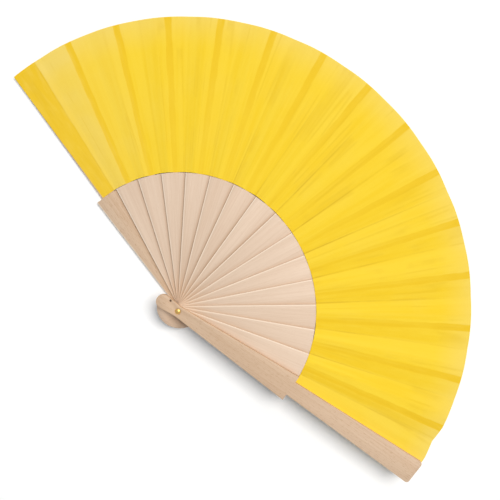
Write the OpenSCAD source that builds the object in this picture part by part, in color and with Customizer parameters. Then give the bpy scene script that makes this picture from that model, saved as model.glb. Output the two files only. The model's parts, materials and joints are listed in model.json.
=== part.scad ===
/* [Fan] */
// Distance from the rivet's axis to the tips of the two guards
reach = 208; // [190:1:235]
// Distance from the rivet's axis to the inner edge of the leaf
leaf_in_r = 99.5; // [85:0.5:110]
// Number of thin sticks between the two guards
stick_count = 14; // [8:1:18]
// Angle between the two guards when the fan is open
open_angle = 157.5; // [120:0.5:170]

/* [Sticks] */
// Width of the rounded heads behind the rivet
head_w = 10.6; // [9:0.1:13]
// How far the heads of the sticks reach behind the rivet's axis
head_back = 16.4; // [12:0.1:22]
// Width of a stick's neck, where the rivet passes through it
stick_neck_w = 5.8; // [5:0.1:9]
// Width of a stick or guard just inside the leaf
gorge_w = 20.8; // [17:0.1:24]
// Thickness of a stick's bare wooden part
stick_t = 1.1; // [0.9:0.05:1.5]
// Thickness of the rib that carries the leaf
rib_t = 0.6; // [0.4:0.05:0.7]
// Width of a rib at the inner edge of the leaf
rib_w_in = 3.8; // [3:0.1:6]
// Width of a rib at its tip
rib_w_out = 4.8; // [3:0.1:6]

/* [Guards] */
// Thickness of a guard
guard_t = 2.6; // [2.2:0.1:3.5]
// How far the heads of the guards reach behind the rivet's axis
guard_head_back = 18; // [13:0.1:22]
// Width of a guard's neck, where the rivet passes through it
guard_neck_w = 8; // [7:0.1:10]
// Width of a guard's outer strip just past its shoulders
strip_w_in = 10.9; // [8:0.1:14]
// Width of a guard's outer strip at its tip
strip_w_out = 19; // [14:0.5:22]
// Corner radius of a guard's tip
tip_corner_r = 2.2; // [0.5:0.1:4]

/* [Leaf] */
// Thickness of the cloth
leaf_t = 0.25; // [0.15:0.05:0.3]

/* [Rivet] */
// Diameter of the rivet's shank
shank_d = 2.5; // [2:0.1:3.5]
// Diameter of the rivet's domed head
rivet_head_d = 4.3; // [4:0.1:5.5]
// Height of the domed head
rivet_head_h = 0.9; // [0.6:0.05:1.4]

/* [Hidden] */
$fn = 64;

// Gaps between pieces: running fit on the rivet, wood over wood, and the glue line under the cloth
run_gap = 0.07;
layer_gap = 0.1;
glue_gap = 0.02;

// The leaf's inner edge clears the shoulders of the sticks and guards
shoulder_gap = 0.2;
stick_end_r = leaf_in_r - shoulder_gap;
guard_shoulder = leaf_in_r - 0.7;

// The ribs stop just short of the leaf's outer edge
rib_end_r = reach - 0.8;

// Angle from one stick to the next, and height from one layer to the next
fold_angle = open_angle / (stick_count + 1);
layer_step = stick_t + layer_gap;

// The back guard lies along the first angle, and each stick is one fold further clockwise
back_angle = 90 + open_angle / 2;
front_z = stick_z(stick_count + 1);

// The back guard's strip is thinner, so that the cloth glued to it clears the first stick
strip_recess = 0.5;
back_strip_t = guard_t - strip_recess;
strip_half_angle = asin(strip_w_out / 2 / reach);

// The rivet's tail and washer lie in a counterbore in the back guard, flush with its face
tail_d = 4;
tail_h = 0.5;
washer_d = 5.4;
washer_t = 0.4;
counterbore_d = 5.8;
counterbore_h = tail_h + washer_t + 0.02;

// The rivet's head is let into the front guard's face
head_seat_d = 5.2;
head_seat_h = 0.45;
head_z = front_z + guard_t - head_seat_h + 0.05;

// Straight steps that make up a rounded tip corner, and a rounded head
arc_steps = 6;
head_steps = 24;

// Small blind hole in the front guard's head: along the guard, across it, diameter and depth
peg_hole_at = [-8.7, 3.7];
peg_hole_d = 1.5;
peg_hole_h = 1.2;

function two_digits(k) = k < 10 ? str("0", k) : str(k);
function stick_name(k) = str("stick_", two_digits(k));
function panel_name(k) = str("leaf_panel_", two_digits(k));
function rib_angle(k) = back_angle - k * fold_angle;
function stick_z(k) = guard_t + layer_gap + (k - 1) * layer_step;

// Outline from the rounded head over the neck to the given length, along +X with the rivet at the origin
module gorge_outline(length, neck_w, back) {
    head_r = head_w / 2;
    head_x = head_r - back;
    neck_half = neck_w / 2;
    end_half = neck_half + (gorge_w / 2 - neck_half) * length / leaf_in_r;
    polygon(concat(
        arc_points([head_x, 0], head_r, 90, 270, head_steps),
        [[0, -neck_half], [length, -end_half], [length, end_half], [0, neck_half]]
    ));
}

// Points of an arc around the given centre, from one angle to another
function arc_points(centre, radius, from, to, steps = arc_steps) =
    [for (i = [0:steps]) let (a = from + (to - from) * i / steps)
        centre + radius * [cos(a), sin(a)]];

// Outline of a guard's outer strip: a long wedge with two rounded tip corners
module strip_outline() {
    start_x = guard_shoulder - 1;
    in_half = strip_w_in / 2;
    slope = atan((strip_w_out - strip_w_in) / 2 / (reach - start_x));
    corner_x = reach - tip_corner_r;
    corner_y = in_half + (corner_x - start_x) * tan(slope) - tip_corner_r / cos(slope);
    polygon(concat(
        [[start_x, in_half], [start_x, -in_half]],
        arc_points([corner_x, -corner_y], tip_corner_r, -90 - slope, 0),
        arc_points([corner_x, corner_y], tip_corner_r, 0, 90 + slope)
    ));
}

// Bore that turns on the rivet's shank
module rivet_bore(height) {
    translate([0, 0, -1]) cylinder(h = height + 2, d = shank_d + 2 * run_gap);
}

module back_guard() {
    color("burlywood") rotate([0, 0, back_angle]) difference() {
        union() {
            linear_extrude(guard_t) gorge_outline(guard_shoulder, guard_neck_w, guard_head_back);
            linear_extrude(back_strip_t) strip_outline();
        }
        rivet_bore(guard_t);
        translate([0, 0, -1]) cylinder(h = counterbore_h + 1, d = counterbore_d);
    }
}

module front_guard() {
    color("burlywood") rotate([0, 0, rib_angle(stick_count + 1)]) translate([0, 0, front_z]) difference() {
        linear_extrude(guard_t) {
            gorge_outline(guard_shoulder, guard_neck_w, guard_head_back);
            strip_outline();
        }
        rivet_bore(guard_t);
        translate([0, 0, guard_t - head_seat_h]) cylinder(h = head_seat_h + 1, d = head_seat_d);
        translate([peg_hole_at[0], peg_hole_at[1], guard_t - peg_hole_h])
            cylinder(h = peg_hole_h + 1, d = peg_hole_d);
    }
}

// Inner stick: a wide bare part that ends in an arc, and a narrow rib under the leaf
module stick(k) {
    color("bisque") rotate([0, 0, rib_angle(k)]) translate([0, 0, stick_z(k)]) difference() {
        union() {
            linear_extrude(stick_t) intersection() {
                gorge_outline(leaf_in_r, stick_neck_w, head_back);
                circle(r = stick_end_r, $fn = 180);
            }
            linear_extrude(rib_t) polygon([
                [stick_end_r - 5, -rib_w_in / 2],
                [rib_end_r, -rib_w_out / 2],
                [rib_end_r, rib_w_out / 2],
                [stick_end_r - 5, rib_w_in / 2]
            ]);
        }
        rivet_bore(stick_t);
    }
}

// Cloth between one rib and the next: a flat sector glued on the counter-clockwise rib.
// The first panel also covers the back guard's strip.
module leaf_panel(k) {
    rib_top = k == 1 ? back_strip_t : stick_z(k - 1) + rib_t;
    sector_angle = k == 1 ? fold_angle + strip_half_angle : fold_angle;
    color("gold") translate([0, 0, rib_top + glue_gap]) rotate([0, 0, rib_angle(k)])
        rotate_extrude(angle = sector_angle, $fn = 180)
            translate([leaf_in_r, 0]) square([reach - leaf_in_r, leaf_t]);
}

module rivet() {
    head_r = rivet_head_d / 2;
    dome_r = (head_r * head_r + rivet_head_h * rivet_head_h) / (2 * rivet_head_h);
    color("goldenrod") {
        cylinder(h = tail_h, d = tail_d);
        cylinder(h = head_z + rivet_head_h / 2, d = shank_d);
        translate([0, 0, head_z]) intersection() {
            cylinder(h = rivet_head_h, r = head_r);
            translate([0, 0, rivet_head_h - dome_r]) sphere(r = dome_r);
        }
    }
}

module rivet_washer() {
    color("gold") translate([0, 0, tail_h]) difference() {
        cylinder(h = washer_t, d = washer_d);
        rivet_bore(washer_t);
    }
}

back_guard();
front_guard();
rivet();
rivet_washer();
for (k = [1:stick_count]) stick(k);
for (k = [1:stick_count + 1]) leaf_panel(k);
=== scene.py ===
"""Looks of a folding hand fan: wooden sticks, a pleated cloth leaf and a brass rivet."""
import json
import math
import bpy
import numpy as np
from mathutils import Matrix, Vector


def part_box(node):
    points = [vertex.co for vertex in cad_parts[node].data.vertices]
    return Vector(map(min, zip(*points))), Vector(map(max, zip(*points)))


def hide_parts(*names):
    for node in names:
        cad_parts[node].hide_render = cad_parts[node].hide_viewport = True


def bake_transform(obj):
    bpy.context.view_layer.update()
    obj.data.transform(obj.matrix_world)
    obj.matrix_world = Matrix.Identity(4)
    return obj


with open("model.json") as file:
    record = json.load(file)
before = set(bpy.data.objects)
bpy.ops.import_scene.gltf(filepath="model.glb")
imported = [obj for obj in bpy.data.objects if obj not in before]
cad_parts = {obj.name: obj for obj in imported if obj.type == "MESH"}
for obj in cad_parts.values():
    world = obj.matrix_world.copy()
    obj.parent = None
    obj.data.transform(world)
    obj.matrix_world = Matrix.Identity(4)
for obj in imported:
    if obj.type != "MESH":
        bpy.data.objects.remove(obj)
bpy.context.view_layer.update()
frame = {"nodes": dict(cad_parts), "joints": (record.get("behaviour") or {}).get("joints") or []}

MM = 0.001

# Layout of the fan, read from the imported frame. Rib 0 is the back guard and the last rib the front guard.
PANELS = len(frame["joints"])
FOLD = math.radians(frame["joints"][0]["range_deg"][1])
BODIES = ["back_guard", *[f"stick_{k:02d}" for k in range(1, PANELS)], "front_guard"]
LEAF_RADII = [math.hypot(v.co.x, v.co.y) for v in frame["nodes"]["leaf_panel_02"].data.vertices]
LEAF_IN = min(LEAF_RADII)
LEAF_OUT = max(LEAF_RADII)
LEAF_MIDDLE = (LEAF_IN + LEAF_OUT) / 2
MIDDLE_PANEL = (PANELS + 1) / 2

# Half widths of the ribs and of the back guard's strip, at the leaf's inner and outer edge
RIB_HALF = (1.9 * MM, 2.4 * MM)
STRIP_HALF = (5.45 * MM, 9.5 * MM)

# Half widths of a stick and of a guard at the rivet, and of both just inside the leaf
STICK_NECK_HALF = 2.9 * MM
GUARD_NECK_HALF = 4.0 * MM
GORGE_HALF = 10.4 * MM

# Height of the face that carries the cloth at each rib. At the last rib it is glued under the front guard.
CLOTH_THICKNESS = 0.2 * MM
GLUE_LINE = 0.03 * MM
RIB_TOPS = [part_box(f"leaf_panel_{k:02d}")[0].z for k in range(1, PANELS + 1)]
RIB_TOPS.append(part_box("front_guard")[0].z - CLOTH_THICKNESS - GLUE_LINE)


def rib_angle(k):
    """Direction of rib k, in radians from the frame's X axis."""
    return math.pi / 2 + FOLD * (PANELS / 2 - k)


# ---------------------------------------------------------------- colours

# How much brighter the studio light shows a level surface than its own colour
STUDIO_GAIN = 1.14

# Display colours, 0 to 255, as they look on a level surface in the studio
STICK_PALE = (236, 211, 188)
STICK_DARK = (222, 193, 167)
GUARD_PALE = (228, 200, 172)
GUARD_DARK = (208, 174, 142)
WOOD_FLECK = (186, 146, 110)
WOOD_HANDLED = (212, 174, 138)
# Painted highlight along a stick's edge
WOOD_EDGE_HIGHLIGHT = (250, 230, 208)
WOOD_JOINT_SHADE = (172, 130, 92)
# Partly darker cut wood, partly painted shade in the gaps between sticks
WOOD_SIDE_AND_SHADE = (190, 146, 106)
# Painted shade in the front guard's peg hole
PEG_HOLE_SHADE = (88, 62, 40)

CLOTH_YELLOW = (255, 219, 62)
CLOTH_DEEP = (252, 212, 46)
CLOTH_CLOUD = (253, 219, 80)
CLOTH_PALE = (250, 221, 118)
# Painted shade on the slope from a rib to its valley
CLOTH_LEE_SHADE = (249, 205, 34)
# Wood seen through the cloth, and painted shade over the ribs
CLOTH_RIB_AND_SHADE = (244, 200, 40)
# Painted shade in the valleys
CLOTH_CREASE_SHADE = (212, 168, 30)
# Painted shade in the fine folds
CLOTH_FINE_FOLD_SHADE = (230, 186, 34)
CLOTH_THREAD = (232, 190, 36)

RIVET_BRASS = (255, 216, 132)
RIVET_WORN = (236, 184, 98)
WASHER_BRASS = (242, 206, 112)
WASHER_WORN = (214, 172, 84)


def srgb(display, lighter=0.0):
    """Linear colour that shows as the given display colour, or as one that much lighter."""
    scaled = (np.array(display) + lighter) / 255
    linear = ((scaled + 0.055) / 1.055) ** 2.4 / STUDIO_GAIN
    return (*[float(c) for c in linear], 1.0)


# ---------------------------------------------------------------- node helpers

class Nodes:
    """A new material's node tree, with short calls for the nodes that the materials share."""

    def __init__(self, name):
        self.material = bpy.data.materials.new(name)
        self.material.use_nodes = True
        self.tree = self.material.node_tree
        self.shader = self.tree.nodes["Principled BSDF"]

    def add(self, kind, inputs=(), **settings):
        """A node of the given kind. inputs are (socket, value or output socket) pairs."""
        node = self.tree.nodes.new(kind)
        for key, value in settings.items():
            setattr(node, key, value)
        for socket, value in inputs:
            self.put(node, socket, value)
        return node

    def put(self, node, socket, value):
        """Links an output socket to an input, or sets the input's own value."""
        if isinstance(value, bpy.types.NodeSocket):
            self.tree.links.new(value, node.inputs[socket])
        else:
            node.inputs[socket].default_value = value

    def object_place(self):
        return self.add("ShaderNodeTexCoord").outputs["Object"]

    def attribute(self, name):
        """One value stored for each point of the mesh."""
        return self.add("ShaderNodeAttribute", attribute_name=name).outputs["Fac"]

    def vector_attribute(self, name):
        """One vector stored for each point of the mesh."""
        return self.add("ShaderNodeAttribute", attribute_name=name).outputs["Vector"]

    def math(self, operation, first, second=0.0):
        node = self.add("ShaderNodeMath", [(0, first), (1, second)], operation=operation)
        return node.outputs[0]

    def length(self, vector):
        node = self.add("ShaderNodeVectorMath", [(0, vector)], operation="LENGTH")
        return node.outputs["Value"]

    def parts(self, vector):
        """The x, y and z of a vector."""
        return self.add("ShaderNodeSeparateXYZ", [(0, vector)]).outputs

    def smooth(self, value, low, high, to_low=0.0, to_high=1.0):
        """Goes smoothly from to_low to to_high as value goes from low to high."""
        node = self.add("ShaderNodeMapRange", interpolation_type="SMOOTHSTEP",
                        inputs=[(0, value), (1, low), (2, high), (3, to_low), (4, to_high)])
        return node.outputs[0]

    def mapping(self, vector, scale=(1, 1, 1), turn=0.0, shift=(0, 0, 0)):
        node = self.add("ShaderNodeMapping", [("Vector", vector), ("Scale", scale),
                                              ("Rotation", (0, 0, turn)), ("Location", shift)])
        return node.outputs[0]

    def noise(self, vector, scale, detail=2.0, roughness=0.5):
        """Noise with this many swells to the metre: one number, or one for each direction."""
        if isinstance(scale, tuple):
            vector, scale = self.mapping(vector, scale=scale), 1.0
        node = self.add("ShaderNodeTexNoise", [("Vector", vector), ("Scale", scale),
                                               ("Detail", detail), ("Roughness", roughness)])
        return node.outputs[0]

    def mix(self, factor, first, second):
        """From the first colour to the second as factor goes from 0 to 1."""
        node = self.add("ShaderNodeMix", data_type="RGBA")
        self.put(node, 0, factor)
        self.put(node, 6, first)
        self.put(node, 7, second)
        return node.outputs[2]

    def bump(self, height, distance, strength):
        node = self.add("ShaderNodeBump", [("Height", height), ("Distance", distance),
                                           ("Strength", strength)])
        return node.outputs[0]

    def finish(self, **sockets):
        """Sets the shader's sockets: a word_word keyword names the socket "Word Word"."""
        for key, value in sockets.items():
            self.put(self.shader, key.replace("_", " ").title().replace("Ior", "IOR"), value)
        return self.material


# ---------------------------------------------------------------- wood

# Where the wood is stained by handling, and where its painted edge highlight and joint shade are fainter,
# from the rivet outwards
HANDLED = (8 * MM, 32 * MM)
FAINT_EDGE_HIGHLIGHT = (8 * MM, 50 * MM)
FAINT_JOINTS = (8 * MM, 45 * MM)

# The painted highlight along a stick's edge, from its clean face to its edge
EDGE_HIGHLIGHT_RISE = (-1.0 * MM, -0.4 * MM)
EDGE_HIGHLIGHT_STRENGTH = 0.8

# Shade beside the next stick's edge: how far it reaches under that stick, its line and its soft band
JOINT_OVERLAP = 0.25 * MM
JOINT_LINE = (0.1 * MM, 0.9 * MM)
JOINT_BAND = (0.0, 3.0 * MM)
LINE_STRENGTH = 0.22
BAND_STRENGTH = 0.42

# The band is full on the sticks before this one, and fainter on the rest, whose joints face the light
FIRST_FAINT_BAND = 8
FAINT_BAND = 0.35

# The blind hole in the front guard's head, along and across the guard, and the edge of the painted shade in
# and around it
PEG_HOLE_AT = (-8.7 * MM, 3.7 * MM, 0)
PEG_HOLE_RIM = (0.7 * MM, 1.0 * MM)


def neck_half(k):
    """Half the width of rib k's stick or guard at the rivet."""
    return GUARD_NECK_HALF if k in (0, PANELS) else STICK_NECK_HALF


def edge_distance(n, along, neck, turn=0.0):
    """Distance out past the counter-clockwise edge of a stick that is turned clockwise from this one."""
    slope = math.atan((GORGE_HALF - neck) / LEAF_IN)
    across = turn - slope
    direction = (math.sin(across), math.cos(across), 0)
    dot = n.add("ShaderNodeVectorMath", [(0, along), (1, direction)], operation="DOT_PRODUCT")
    return n.math("SUBTRACT", dot.outputs["Value"], neck * math.cos(slope))


def joint_highlight_and_shade(n, colour, along, from_rivet, k):
    """The painted highlight along the edge of rib k's stick, and the painted shade in the corner under the
    next stick's edge.
    """
    # Painted highlight along the stick's own edge, fainter near the rivet
    worn = n.smooth(edge_distance(n, along, neck_half(k)), *EDGE_HIGHLIGHT_RISE, 0.0, EDGE_HIGHLIGHT_STRENGTH)
    worn = n.math("MULTIPLY", worn, n.smooth(from_rivet, *FAINT_EDGE_HIGHLIGHT, 0.5, 1.0))
    colour = n.mix(worn, colour, srgb(WOOD_EDGE_HIGHLIGHT))

    distance = edge_distance(n, along, neck_half(k + 1), FOLD)
    faintness = 1.0 if k < FIRST_FAINT_BAND else FAINT_BAND
    line = n.smooth(distance, *JOINT_LINE, LINE_STRENGTH, 0.0)
    band = n.smooth(distance, *JOINT_BAND, BAND_STRENGTH * faintness, 0.0)
    shade = n.math("MULTIPLY", n.math("ADD", line, band), n.smooth(distance, -JOINT_OVERLAP, 0.0))
    shade = n.math("MULTIPLY", shade, n.smooth(from_rivet, *FAINT_JOINTS, 0.45, 1.0))
    return n.mix(shade, colour, srgb(WOOD_JOINT_SHADE))


def peg_hole_shade(n, colour, along):
    """Painted shade inside the small blind hole in the front guard's head, and on its rim."""
    from_hole = n.add("ShaderNodeVectorMath", [(0, along), (1, PEG_HOLE_AT)], operation="SUBTRACT")
    distance = n.length(n.mapping(from_hole.outputs[0], scale=(1, 1, 0)))
    return n.mix(n.smooth(distance, *PEG_HOLE_RIM, 0.9, 0.0), colour, srgb(PEG_HOLE_SHADE))


def wood_material(name, k, pale, dark, fleck_amount):
    """Planed light wood whose grain runs along rib k, with painted light and shade at its joints, and the
    marks of handling.
    """
    n = Nodes(name)
    along = n.mapping(n.object_place(), turn=-rib_angle(k))
    from_rivet = n.length(along)

    # Each piece is cut from another part of the same grain
    board_cut = n.mapping(along, shift=(k * 1.7, k * 0.9, k * 0.4))
    board = n.noise(board_cut, (9, 60, 20))
    streaks = n.noise(board_cut, (16, 1300, 120), detail=3, roughness=0.6)
    fibres = n.noise(board_cut, (110, 3800, 900))
    flecks = n.noise(board_cut, (300, 2600, 900), detail=1)
    grain = n.math("ADD", n.smooth(streaks, 0.3, 0.72, 0.0, 0.5), n.smooth(board, 0.3, 0.7, 0.0, 0.4))
    fleck_mask = n.smooth(flecks, 0.6, 0.7, 0.0, fleck_amount)
    colour = n.mix(grain, pale, dark)
    colour = n.mix(n.smooth(fibres, 0.35, 0.75, 0.0, 0.3), colour, dark)
    colour = n.mix(fleck_mask, colour, srgb(WOOD_FLECK))

    colour = n.mix(n.smooth(from_rivet, *HANDLED, 0.5, 0.0), colour, srgb(WOOD_HANDLED))
    if k < PANELS:
        colour = joint_highlight_and_shade(n, colour, along, from_rivet, k)
    else:
        colour = peg_hole_shade(n, colour, along)

    # Upright sides are darker than the level faces: partly darker cut wood, partly painted shade in the
    # narrow gaps between sticks
    normal = n.add("ShaderNodeNewGeometry").outputs["True Normal"]
    flatness = n.math("ABSOLUTE", n.parts(normal)[2])
    colour = n.mix(n.smooth(flatness, 0.1, 0.5, 0.4, 0.0), colour, srgb(WOOD_SIDE_AND_SHADE))
    relief = n.math("SUBTRACT", n.math("MULTIPLY", fibres, 0.6), n.math("MULTIPLY", fleck_mask, 0.5))
    return n.finish(base_color=colour, roughness=n.smooth(streaks, 0.2, 0.8, 0.52, 0.68),
                    normal=n.bump(relief, 0.05 * MM, 0.4), specular_ior_level=0.3)


# ---------------------------------------------------------------- cloth, brass and floor

THREAD_PITCH = 0.34 * MM


def cloth_ribs_and_painted_shade(n, colour, rays, clouds):
    """Painted shade from a rib to its valley, wood and painted shade over the ribs, painted shade in the
    sharp and fine folds.
    """
    patches = n.noise(rays, (300, 60, 1))
    # Painted shade on the slope from each rib down to its valley, strongest towards the front guard, where
    # that slope faces away from the light
    lee_shade = n.math("MULTIPLY", n.attribute("lee_shade"), n.smooth(patches, 0.25, 0.6, 0.45, 1.0))
    colour = n.mix(lee_shade, colour, srgb(CLOTH_LEE_SHADE))

    # The glue line wanders a little, so the wood's edge does too
    over_wood = n.math("ADD", n.attribute("over_wood"), n.smooth(patches, 0.3, 0.7, -0.3 * MM, 0.2 * MM))
    # Over each rib, the wood seen through the thin cloth, with painted shade where the rib keeps light from
    # coming up through the cloth
    wood = n.math("MULTIPLY", n.smooth(over_wood, -0.6 * MM, 0.4 * MM), n.attribute("band"))
    wood = n.math("MULTIPLY", wood, n.smooth(patches, 0.2, 0.65, 0.7, 1.0))
    colour = n.mix(wood, colour, srgb(CLOTH_RIB_AND_SHADE))

    # Painted shade in the valley's crease, and along the back guard's strip
    crease = n.math("MULTIPLY", n.attribute("crease"), n.smooth(clouds, 0.35, 0.62, 0.35, 1.0))
    colour = n.mix(crease, colour, srgb(CLOTH_CREASE_SHADE))

    # Painted shade of fine folds, which run where a stretched noise crosses its middle value
    ripple = n.noise(n.mapping(rays, scale=(110, 3.5, 1), shift=(3, 1, 0)), 1.0, detail=1)
    from_middle = n.math("ABSOLUTE", n.math("SUBTRACT", ripple, 0.5))
    fine_fold_shade = n.smooth(from_middle, 0.0, 0.05, 0.26, 0.0)
    fine_fold_shade = n.math("MULTIPLY", fine_fold_shade, n.smooth(clouds, 0.42, 0.6))
    return n.mix(fine_fold_shade, colour, srgb(CLOTH_FINE_FOLD_SHADE))


def cloth_material():
    """Thin yellow plain-weave cloth, paler at the rim and deeper where wood lies under it, with painted
    shade over the ribs, beside them and in the folds.
    """
    n = Nodes("leaf_cloth")
    rest = n.vector_attribute("rest_place")
    rays = n.vector_attribute("along_rays")
    soft_streaks = n.noise(rays, (230, 9, 1), detail=3, roughness=0.6)
    clouds = n.noise(rest, 38.0, detail=3)
    colour = n.mix(n.smooth(soft_streaks, 0.36, 0.7, 0.0, 0.8), srgb(CLOTH_YELLOW), srgb(CLOTH_DEEP))
    colour = n.mix(n.smooth(clouds, 0.4, 0.75, 0.0, 0.3), colour, srgb(CLOTH_CLOUD))
    pale = n.math("MULTIPLY", n.attribute("paleness"), n.smooth(clouds, 0.25, 0.75, 0.7, 1.0))
    colour = n.mix(pale, colour, srgb(CLOTH_PALE))
    colour = cloth_ribs_and_painted_shade(n, colour, rays, clouds)

    # Plain weave: threads both ways, raised in turn
    warp = n.noise(rest, (4200, 120, 1))
    weft = n.noise(rest, (120, 4200, 1))
    threads = n.math("ADD", n.smooth(warp, 0.3, 0.7, 0.0, 0.5), n.smooth(weft, 0.3, 0.7, 0.0, 0.5))
    colour = n.mix(n.math("MULTIPLY", threads, 0.12), colour, srgb(CLOTH_THREAD))
    turns_per_metre = 2 * math.pi / THREAD_PITCH
    waves = [n.math("SINE", n.math("MULTIPLY", part, turns_per_metre)) for part in n.parts(rest)[:2]]
    weave = n.math("MULTIPLY", *waves)
    height = n.math("ADD", n.math("MULTIPLY", weave, 0.35), threads)
    return n.finish(base_color=colour, roughness=0.85, specular_ior_level=0.1, sheen_weight=0.02,
                    sheen_roughness=0.5, normal=n.bump(height, 0.05 * MM, 0.35))


def brass_material(name, tint, worn):
    """Stamped brass with fine scratches and a duller film in patches."""
    n = Nodes(name)
    place = n.object_place()
    film = n.noise(place, 900.0, detail=3, roughness=0.6)
    scratches = n.noise(n.mapping(place, scale=(9000, 700, 700), turn=0.6), 1.0)
    colour = n.mix(n.smooth(film, 0.35, 0.7), srgb(tint), srgb(worn))
    rough = n.math("ADD", n.smooth(film, 0.3, 0.7, 0.38, 0.52), n.smooth(scratches, 0.5, 0.75, 0.0, 0.1))
    return n.finish(base_color=colour, metallic=0.75, roughness=rough,
                    normal=n.bump(scratches, 0.02 * MM, 0.3))


def floor_material():
    """White studio table with a barely visible mottle."""
    n = Nodes("studio_floor")
    mottle = n.noise(n.object_place(), 6.0)
    colour = n.mix(mottle, FLOOR_MOTTLE, FLOOR_WHITE)
    return n.finish(base_color=colour, roughness=0.9, specular_ior_level=0.1)


# ---------------------------------------------------------------- cloth leaf

CLOTH_SEED = 11

# Points across one panel, and from its inner to its outer edge
COLUMNS = 64
ROWS = 40

# The shell's surface is smooth, but for edges that turn by more than this
SHARP_ANGLE = math.radians(50)

# Where the valley lies between two ribs, as a share of the way, and in the last panel, by the front guard
CREASE_AT = 0.40
LAST_CREASE_AT = 0.31

# How far the valley wanders from there, the width of its painted line of shade, and the share of the way
# over which the painted shade on its first side fades out
CREASE_WANDER = 0.018
CREASE_WIDTH = 0.45 * MM
LEE_SHADE_FADE = 0.06

# Where the slack swell lies between two ribs, its height at the inner edge, and its share by the back guard
RIDGE_AT = 0.74
RIDGE_HEIGHT = 0.22 * MM
FIRST_RIDGE_SHARE = 0.3

# Depth of the valley on the first panel, what it gains, and over how many panels
CREASE_DEPTH = 0.25 * MM
CREASE_GAIN = 0.4 * MM
CREASE_GAIN_PANELS = 9

# The folds are rounded over this distance to each side, as the mean of this many shifted sharp ones
FOLD_ROUNDING = 0.7 * MM
ROUNDING_STEPS = 7

# The outer edge is drawn in at each valley, most at the last one, over this share of a panel to each side
MOST_NOTCH = 0.35 * MM
LAST_NOTCH = 1.7 * MM
NOTCH_HALF = 0.34

# The inner edge draws back between the ribs, from a line this much nearer the rivet than the CAD's edge
INNER_MARGIN = 0.12 * MM
LEAST_SAG = 0.1 * MM
MOST_SAG = 0.4 * MM

# The panels by the guards let more light through, and so does the outer rim, between these two radii
PANEL_PALENESS = {1: 0.62, 2: 0.22, PANELS: 0.12}
RIM = (185 * MM, 210 * MM)
RIM_PALENESS = 0.8

# Strength of the painted line of shade along the edge of the back guard's strip, and its half width
STRIP_SHADE_LINE = 0.32
STRIP_SHADE_LINE_WIDTH = 0.5 * MM


def rib_half(k, radius):
    """Half the width of the wood under the cloth at rib k."""
    inner, outer = STRIP_HALF if k == 0 else RIB_HALF
    return inner + (outer - inner) * (radius - LEAF_IN) / (LEAF_OUT - LEAF_IN)


def crease_at(k):
    """Where panel k's valley lies, as a share of the way from its first rib to its second."""
    return LAST_CREASE_AT if k == PANELS else CREASE_AT


# In what follows, along is 0 at the leaf's inner edge and 1 at its outer edge

def crease_depth(k, along):
    """Depth of the valley. It grows from the back guard on, and outwards."""
    share = min(1.0, (k - 1) / CREASE_GAIN_PANELS)
    return (CREASE_DEPTH + CREASE_GAIN * share) * (0.75 + 0.25 * along)


def ridge_height(k, along):
    """Height of the slack swell beside the next rib. It dies out towards the outer edge."""
    return RIDGE_HEIGHT * (1 - 0.8 * along) * (1.0 if k > 1 else FIRST_RIDGE_SHARE)


def towards_front(k, half_way, spread):
    """Goes from 0 by the back guard to 1 by the front guard, most steeply at the panel half_way."""
    return 1 / (1 + math.exp((half_way - k) / spread))


def crease_shade_strength(k, along):
    """How dark the painted shade in the valley is: strong at the leaf's inner edge, and thinning outwards.
    """
    middle = math.exp(-((k - MIDDLE_PANEL) / 3) ** 2)
    front = towards_front(k, MIDDLE_PANEL, 1.0)
    at_inner_edge = 0.12 + 0.5 * middle + 0.1 * front
    return at_inner_edge * (1 - along) ** 1.5 + 0.36 * front * (1 - along ** 4)


def band_strength(k, along):
    """How clearly the rib shows through, as wood seen through the cloth and as painted shade: all along
    beside the guards, and mostly at the rim elsewhere.
    """
    at_ends = 1 - math.exp(-((k - MIDDLE_PANEL) / 6) ** 4)
    return 0.3 + 0.55 * at_ends + (0.62 - 0.5 * at_ends) * along ** 1.6


def lee_shade_strength(k, along):
    """Depth of the painted shade from the rib to the valley. It grows towards the front guard."""
    front = towards_front(k, MIDDLE_PANEL + 1, 1.5)
    return (0.12 + 0.5 * front) * (1 - along ** 3)


def paleness(k, radius):
    """How much light comes through panel k."""
    rim = np.clip((radius - RIM[0]) / (RIM[1] - RIM[0]), 0, 1) ** 1.5
    return min(1.0, rim * RIM_PALENESS + PANEL_PALENESS.get(k, 0.0))


def panel_heights(k, widths, radius, crease):
    """Height of the cloth above the table, at the given distances clockwise from rib k - 1."""
    chord = radius * FOLD
    along = (radius - LEAF_IN) / (LEAF_OUT - LEAF_IN)
    low, high = RIB_TOPS[k - 1], RIB_TOPS[k]
    start = rib_half(k - 1, radius) + FOLD_ROUNDING
    stop = chord - rib_half(k, radius) - FOLD_ROUNDING
    crease_x = max(chord * crease, start + MM)
    ridge_x = chord * RIDGE_AT

    def level(x):
        """Height of a cloth stretched straight from one rib to the next."""
        return low + (high - low) * (x - start) / (stop - start)

    knots_x = [-chord, start, crease_x, ridge_x, stop, 2 * chord]
    knots_z = [low, low, level(crease_x) - crease_depth(k, along), level(ridge_x) + ridge_height(k, along),
               high, high]
    offsets = np.linspace(-FOLD_ROUNDING, FOLD_ROUNDING, ROUNDING_STEPS)
    return np.mean([np.interp(widths + shift, knots_x, knots_z) for shift in offsets], axis=0)


def edge_reach(k, turns, radius, along, notch, sag):
    """Distance of the points from the rivet, with the outer edge's notch and the inner edge's sag."""
    from_crease = np.abs(turns / FOLD - crease_at(k))
    between = np.sin(math.pi * np.clip(turns / FOLD, 0, 1))
    drawn_in = along ** 8 * notch * np.clip(1 - from_crease / NOTCH_HALF, 0, 1)
    inner = (1 - along) ** 8 * (sag * between - INNER_MARGIN)
    return radius - drawn_in + inner


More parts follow.
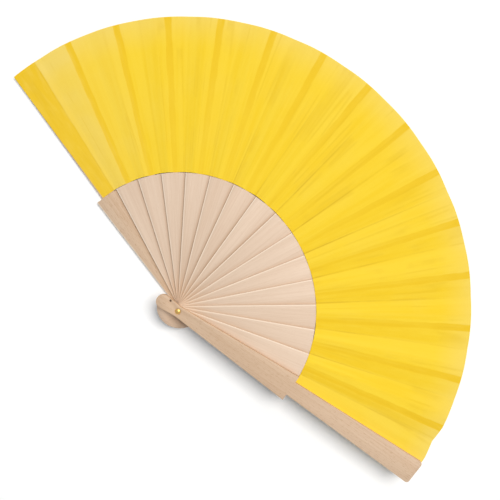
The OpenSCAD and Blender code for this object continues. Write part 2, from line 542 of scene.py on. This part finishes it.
def crease_shade_line(k, widths, radius, along, crease):
    """The valley's painted line of shade, and on the first panel also a painted line of shade along the
    back guard's strip.
    """
    line = np.exp(-((widths - radius * FOLD * crease) / CREASE_WIDTH) ** 2) * crease_shade_strength(k, along)
    if k == 1:
        past_strip = (widths - rib_half(0, radius)) / STRIP_SHADE_LINE_WIDTH
        line = line + STRIP_SHADE_LINE * np.exp(-past_strip ** 2)
    return line


def panel_row(k, turns, along, phase, notch, sag):
    """One row of points across panel k, with the values that its material reads at each of them."""
    radius = LEAF_IN + (LEAF_OUT - LEAF_IN) * along
    widths = turns * radius
    crease = crease_at(k) + CREASE_WANDER * math.sin(phase + 3 * along)
    heights = panel_heights(k, widths, radius, crease) + CLOTH_THICKNESS
    reach = edge_reach(k, turns, radius, along, notch, sag)
    angles = rib_angle(k - 1) - turns
    all_across = np.ones_like(turns)
    return {
        "rest_place": np.stack([reach * np.cos(angles), reach * np.sin(angles), heights], axis=1),
        "along_rays": np.stack([(turns + FOLD * k) * LEAF_MIDDLE, reach, 0 * turns], axis=1),
        "over_wood": np.maximum(rib_half(k - 1, radius) - np.abs(widths),
                                rib_half(k, radius) - np.abs(radius * FOLD - widths)),
        "paleness": all_across * paleness(k, radius),
        "crease": crease_shade_line(k, widths, radius, along, crease),
        "band": all_across * band_strength(k, along),
        "lee_shade": np.clip((crease - turns / FOLD) / LEE_SHADE_FADE, 0, 1) * lee_shade_strength(k, along),
    }


def shell_faces():
    """Faces of a closed shell: a grid of top points, the same grid below it, and the rim between them."""
    count = ROWS * COLUMNS
    grid = np.arange(count).reshape(ROWS, COLUMNS).tolist()
    faces = []
    for near, far in zip(grid, grid[1:]):
        for a, b, c, d in zip(near, near[1:], far[1:], far):
            faces.append((a, d, c, b))
            faces.append((a + count, b + count, c + count, d + count))
    last_column = [row[-1] for row in grid]
    first_column = [row[0] for row in grid]
    border = grid[0] + last_column[1:] + grid[-1][-2::-1] + first_column[-2:0:-1]
    for a, b in zip(border, border[1:] + border[:1]):
        faces.append((a, b, b + count, a + count))
    return faces


def add_attribute(mesh, name, values):
    """Stores one value or vector for each point of the mesh."""
    kind, key = ("FLOAT_VECTOR", "vector") if values.ndim == 2 else ("FLOAT", "value")
    layer = mesh.attributes.new(name, kind, "POINT")
    layer.data.foreach_set(key, values.astype(np.float32).ravel())


def leaf_panel(k, material, rng):
    """The cloth from rib k - 1 to rib k, one pleat, as a thin closed shell."""
    first = -STRIP_HALF[1] / LEAF_OUT if k == 1 else 0.0
    turns = np.linspace(first, FOLD, COLUMNS)
    phase = rng.uniform(0, 2 * math.pi)
    notch = LAST_NOTCH if k == PANELS else rng.uniform(0, MOST_NOTCH)
    sag = rng.uniform(LEAST_SAG, MOST_SAG)
    rows = [panel_row(k, turns, along, phase, notch, sag) for along in np.linspace(0, 1, ROWS)]
    top = {name: np.concatenate([row[name] for row in rows]) for name in rows[0]}
    bottom = {**top, "rest_place": top["rest_place"] - [0, 0, CLOTH_THICKNESS]}

    mesh = bpy.data.meshes.new(f"cloth_{k:02d}")
    points = np.concatenate([top["rest_place"], bottom["rest_place"]])
    mesh.from_pydata(points.tolist(), [], shell_faces())
    mesh.update()
    for name in top:
        add_attribute(mesh, name, np.concatenate([top[name], bottom[name]]))
    mesh.shade_smooth()
    mesh.set_sharp_from_angle(angle=SHARP_ANGLE)
    mesh.materials.append(material)
    piece = bpy.data.objects.new(f"cloth_panel_{k:02d}", mesh)
    bpy.context.scene.collection.objects.link(piece)
    hang_panel(piece, k)


def hang_panel(piece, k):
    """Hides the CAD panel that this piece replaces, and bakes the piece's transform into its mesh."""
    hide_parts(f"leaf_panel_{k:02d}")
    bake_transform(piece)


# ---------------------------------------------------------------- carried-over CAD parts

# Width of the softened edges
STICK_EDGE = 0.16 * MM
GUARD_EDGE = 0.3 * MM
RIVET_EDGE = 0.06 * MM
WASHER_EDGE = 0.05 * MM

WOOD_SEED = 5

# How far a stick's colour strays from the others', and how strong the flecks are in sticks and guards
STICK_TONE_SPREAD = 2
STICK_FLECKS = 0.10
GUARD_FLECKS = 0.6


def soften_edges(node, width):
    """Rounds the edges of a CAD part in the render without changing its mesh."""
    weld = node.modifiers.new("weld", "WELD")
    weld.merge_threshold = 0.002 * MM
    bevel = node.modifiers.new("soft_edges", "BEVEL")
    bevel.width = width
    bevel.segments = 2
    bevel.limit_method = "ANGLE"
    bevel.angle_limit = math.radians(40)
    bevel.harden_normals = True


def dress(node_name, material, edge):
    """Gives a CAD part its material and softened edges."""
    node = frame["nodes"][node_name]
    node.data.materials.clear()
    node.data.materials.append(material)
    node.data.shade_smooth()
    soften_edges(node, edge)


def dress_wood():
    """Every stick and guard gets its own board, cut from slightly lighter or darker wood."""
    tones = np.random.default_rng(WOOD_SEED)
    for k in range(1, PANELS):
        lighter = tones.uniform(-STICK_TONE_SPREAD, STICK_TONE_SPREAD)
        pale = srgb(STICK_PALE, lighter)
        dark = srgb(STICK_DARK, lighter)
        dress(BODIES[k], wood_material(f"wood_{BODIES[k]}", k, pale, dark, STICK_FLECKS), STICK_EDGE)
    for k in (0, PANELS):
        material = wood_material(f"wood_{BODIES[k]}", k, srgb(GUARD_PALE), srgb(GUARD_DARK), GUARD_FLECKS)
        dress(BODIES[k], material, GUARD_EDGE)


def dress_rivet():
    dress("rivet", brass_material("brass_rivet", RIVET_BRASS, RIVET_WORN), RIVET_EDGE)
    dress("rivet_washer", brass_material("brass_washer", WASHER_BRASS, WASHER_WORN), WASHER_EDGE)


# ---------------------------------------------------------------- studio

FLOOR_SIZE = 6.0
FLOOR_WHITE = (0.98, 0.98, 0.98, 1)
FLOOR_MOTTLE = (0.96, 0.96, 0.96, 1)

# Brightness of the backdrop and of the ceiling, the heights between which one goes over into the other,
# as shares of straight up, and the tint of both
BACKDROP = 0.98
CEILING = 0.16
CEILING_RISE = (0.3, 0.6)
ROOM_TINT = (0.86, 0.93, 1.0, 1)

# The key light: where it hangs as seen from the fan, in degrees and metres, its side, power and tint
KEY_AZIMUTH = 88
KEY_ELEVATION = 60
KEY_DISTANCE = 4.0
KEY_SIZE = 2.1
KEY_POWER = 168
KEY_TINT = (1.0, 0.975, 0.94)

# The camera: its sensor and lens in millimetres, its distance from the fan, how the fan lies turned and
# tilted in the view, and how far the rivet is from the middle of the view
SENSOR_WIDTH = 36
CAMERA_LENS = 47.76
CAMERA_DISTANCE = 0.5
CAMERA_TURN = math.radians(-45.33)
CAMERA_TILT = (math.radians(8.02), math.radians(-4.74))
VIEW_SHIFT = (-50.3 * MM, -41.35 * MM)


def make_floor():
    """The white table that the fan lies on."""
    bpy.ops.mesh.primitive_plane_add(size=FLOOR_SIZE, location=(0, 0, 0))
    floor = bpy.context.object
    floor.name = "floor"
    floor.data.materials.append(floor_material())


def make_key_light():
    """A square soft light that looks at the middle of the fan."""
    data = bpy.data.lights.new("key", "AREA")
    data.size = KEY_SIZE
    data.energy = KEY_POWER
    data.color = KEY_TINT
    light = bpy.data.objects.new("key", data)
    azimuth = math.radians(KEY_AZIMUTH)
    elevation = math.radians(KEY_ELEVATION)
    flat = math.cos(elevation)
    towards = Vector((math.cos(azimuth) * flat, math.sin(azimuth) * flat, math.sin(elevation)))
    target = Vector((0, LEAF_MIDDLE / 2, 0))
    light.location = target + towards * KEY_DISTANCE
    light.rotation_euler = towards.to_track_quat("Z", "Y").to_euler()
    bpy.context.scene.collection.objects.link(light)


def make_world():
    """A white backdrop all round, under a dimmer ceiling."""
    world = bpy.data.worlds.new("studio")
    bpy.context.scene.world = world
    world.use_nodes = True
    nodes, links = world.node_tree.nodes, world.node_tree.links
    direction = nodes.new("ShaderNodeTexCoord").outputs["Generated"]
    parts = nodes.new("ShaderNodeSeparateXYZ")
    links.new(direction, parts.inputs[0])
    level = nodes.new("ShaderNodeMapRange")
    level.interpolation_type = "SMOOTHSTEP"
    links.new(parts.outputs[2], level.inputs[0])
    level.inputs["From Min"].default_value = CEILING_RISE[0]
    level.inputs["From Max"].default_value = CEILING_RISE[1]
    level.inputs["To Min"].default_value = BACKDROP
    level.inputs["To Max"].default_value = CEILING
    background = nodes["Background"]
    background.inputs["Color"].default_value = ROOM_TINT
    links.new(level.outputs[0], background.inputs["Strength"])


def make_camera():
    """Looks down on the fan, which lies turned in the view, from a little off the vertical."""
    data = bpy.data.cameras.new("camera")
    data.sensor_width = SENSOR_WIDTH
    data.lens = CAMERA_LENS
    camera = bpy.data.objects.new("camera", data)
    turn = (Matrix.Rotation(CAMERA_TILT[0], 4, "X") @ Matrix.Rotation(CAMERA_TILT[1], 4, "Y")
            @ Matrix.Rotation(CAMERA_TURN, 4, "Z"))
    camera.matrix_world = (Matrix.Translation((*VIEW_SHIFT, -CAMERA_DISTANCE)) @ turn).inverted()
    bpy.context.scene.collection.objects.link(camera)
    bpy.context.scene.camera = camera


make_camera()
make_floor()
make_key_light()
make_world()
bpy.context.scene.view_settings.view_transform = "Standard"

cloth = cloth_material()
slack = np.random.default_rng(CLOTH_SEED)
for k in range(1, PANELS + 1):
    leaf_panel(k, cloth, slack)
dress_wood()
dress_rivet()
